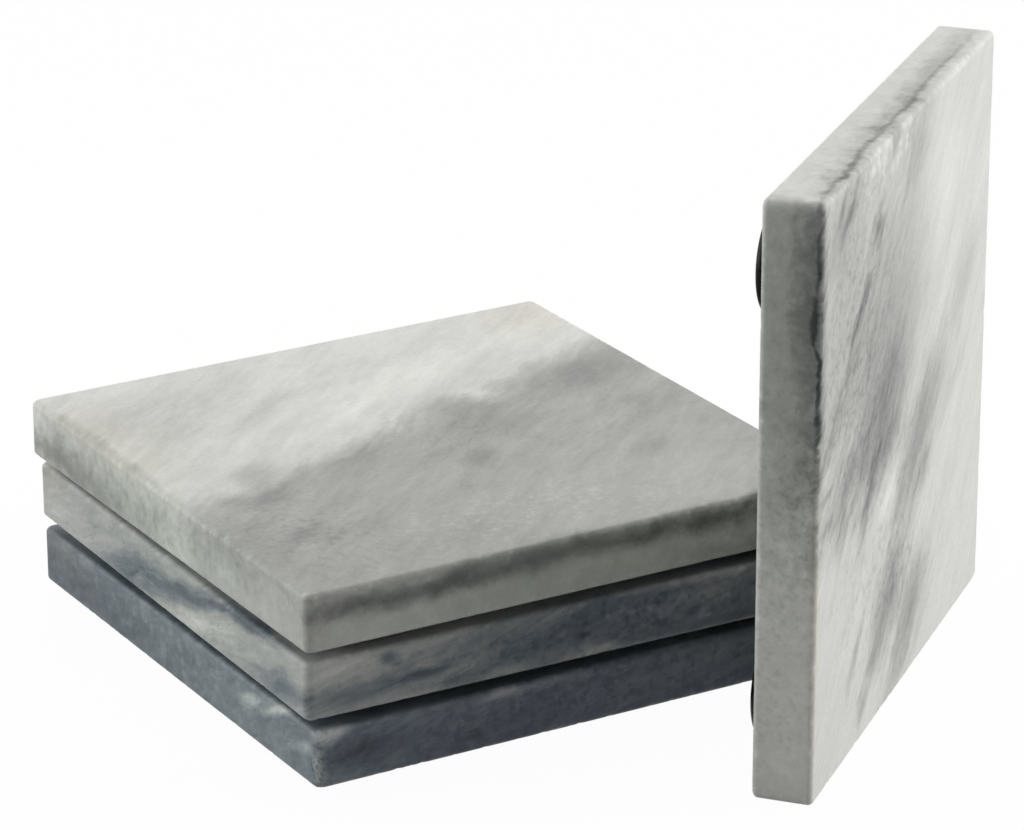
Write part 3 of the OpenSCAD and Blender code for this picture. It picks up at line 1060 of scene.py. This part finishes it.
def white_world(strength):
    """A dim even light on the object, and white for the rays that should meet a white backdrop."""
    world = bpy.data.worlds.new("studio")
    bpy.context.scene.world = world
    world.use_nodes = True
    tree = world.node_tree
    tree.nodes.clear()
    level = add(tree, "ShaderNodeMath", {0: sees_white(tree), 1: 1.0 - strength, 2: strength},
                operation="MULTIPLY_ADD").outputs[0]
    back = add(tree, "ShaderNodeBackground", {"Color": WHITE, "Strength": level})
    add(tree, "ShaderNodeOutputWorld", {"Surface": back.outputs[0]})


floor = white_floor()
white_world(WORLD_LIGHT)
print(floor.name, "is", FLOOR_SIZE, "m wide, and the world's light on the object is", WORLD_LIGHT)

# %% [markdown]
# Each soft box has a turn from +X towards +Y and a height above the horizon, in degrees, then its
# distance and its side in metres, and its power in watts.

# %% Soft boxes
TARGET = Vector((0, 0, 0.03))
SOFT_BOXES = {
    "left_box": (150, 16, 0.75, 0.7, 4.05),
    "right_box": (336, 22, 0.85, 0.8, 6.1),
    "top_box": (75, 68, 0.95, 0.9, 3.3),
}


def soft_box(name, turn, height, distance, size, power):
    """A square area light on a sphere round the set, turned to face it. Its direction is
    (cos turn cos height, sin turn cos height, sin height)."""
    turn, height = math.radians(turn), math.radians(height)
    level = math.cos(height)
    way = Vector((math.cos(turn) * level, math.sin(turn) * level, math.sin(height)))
    data = bpy.data.lights.new(name, "AREA")
    data.shape = "SQUARE"
    data.size = size
    data.energy = power
    lamp = bpy.data.objects.new(name, data)
    lamp.location = TARGET + distance * way
    lamp.rotation_euler = way.to_track_quat("Z", "Y").to_euler()
    bpy.context.scene.collection.objects.link(lamp)
    return lamp


for name, settings in SOFT_BOXES.items():
    soft_box(name, *settings)
print("soft boxes, W:", {name: settings[-1] for name, settings in SOFT_BOXES.items()})

# %% [markdown]
# A product shot is taken with a long lens from far off, so that upright edges stay nearly parallel.
# The lens, the place and the three angles bring all four slabs' edges onto those in the photograph.

# %% Camera
LENS, SENSOR = 168.25, 36.0
CLIP_NEAR, CLIP_FAR = 0.01, 50
CAMERA_FROM_TOP_SLAB = Vector((-366.3, -651.7, 328.4)) * MM
YAW, PITCH, ROLL = 30.418, -21.013, 0.107


def product_camera():
    """A long lens at the photograph's place. The place is counted from the middle of the top slab
    along X and Y, and from the table in height."""
    data = bpy.data.cameras.new("product_camera")
    data.lens, data.sensor_width = LENS, SENSOR
    data.clip_start, data.clip_end = CLIP_NEAR, CLIP_FAR
    camera = bpy.data.objects.new("product_camera", data)
    middle = box_middle("top_slab")
    camera.location = Vector((middle[0], middle[1], 0)) + CAMERA_FROM_TOP_SLAB
    yaw, pitch, roll = (math.radians(angle) for angle in (YAW, PITCH, ROLL))
    upright = Matrix.Rotation(math.pi / 2 + pitch, 4, "X")
    aim = Matrix.Rotation(-yaw, 4, "Z") @ upright @ Matrix.Rotation(-roll, 4, "Z")
    camera.rotation_euler = aim.to_euler()
    bpy.context.scene.collection.objects.link(camera)
    bpy.context.scene.camera = camera
    return camera


camera = product_camera()
bpy.context.scene.view_settings.view_transform = "Standard"
print("camera at, mm:", [round(c / MM, 1) for c in camera.location])
